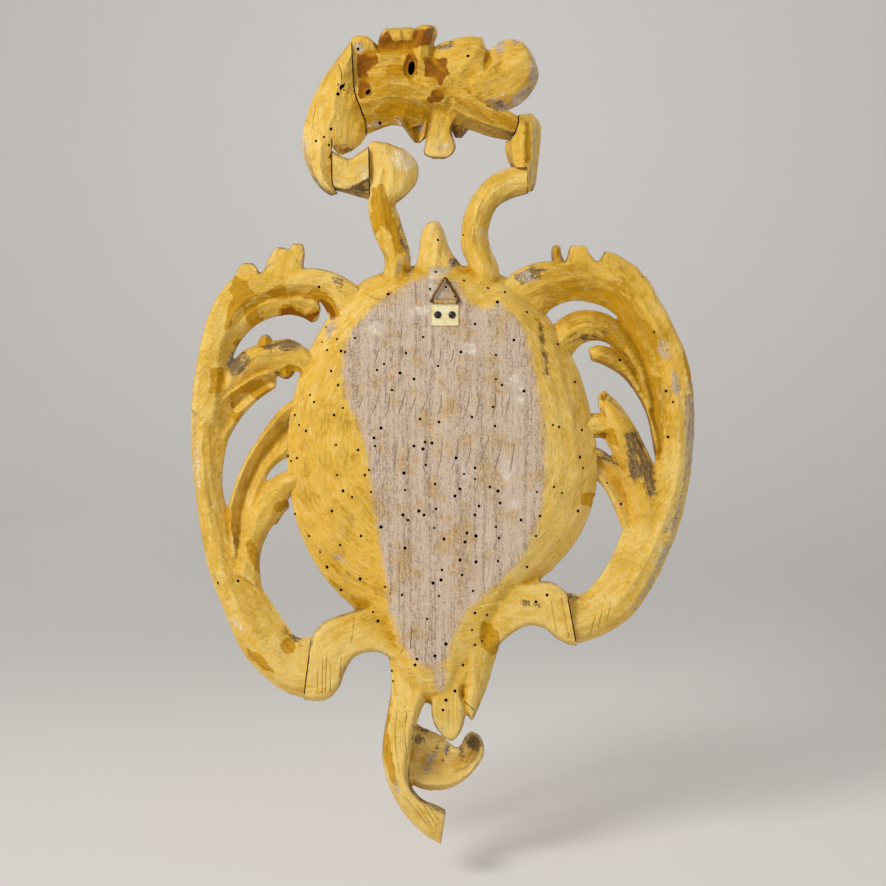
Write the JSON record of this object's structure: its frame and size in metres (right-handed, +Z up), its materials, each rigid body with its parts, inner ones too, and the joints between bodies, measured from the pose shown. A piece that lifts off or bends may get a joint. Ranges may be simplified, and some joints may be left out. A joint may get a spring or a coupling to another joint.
{
  "type": "giltwood shield plaque",
  "caption": "Carved wall plaque with an oval shield, pierced scroll wings, a leafy crest and a curled tail, hung by a hinged wire ring on its flat back.",
  "frame": {"origin": "inside the apex of the hanging ring, where the wall hook bears", "axes": "+Z up, +Y out of the flat back towards the wall, +X towards the right wing, as seen from the gilt front, which faces -Y"},
  "size_m": [0.3766, 0.0502, 0.6161],
  "materials": {
    "carved_wood": "carved wood, gilt in front, washed with yellow ochre behind",
    "hanger_brass": "bright sheet brass",
    "ring_wire": "darkened wire",
    "screw_steel": "dark steel"
  },
  "bodies": {
    "plaque": {"shield_panel": "carved_wood", "right_wing": "carved_wood", "left_wing": "carved_wood", "crest": "carved_wood", "crest_limb": "carved_wood", "crest_block": "carved_wood", "crest_link": "carved_wood", "hanger_plate": "hanger_brass", "left_screw": "screw_steel", "right_screw": "screw_steel"},
    "ring": {"hanger_ring": "ring_wire"}
  },
  "joints": [
    {"name": "ring_hinge", "type": "hinge", "parent": "plaque", "child": "ring", "pos_m": [0, 0, -0.0166], "axis": [-1, 0, 0], "range_deg": [-3, 165]}
  ]
}
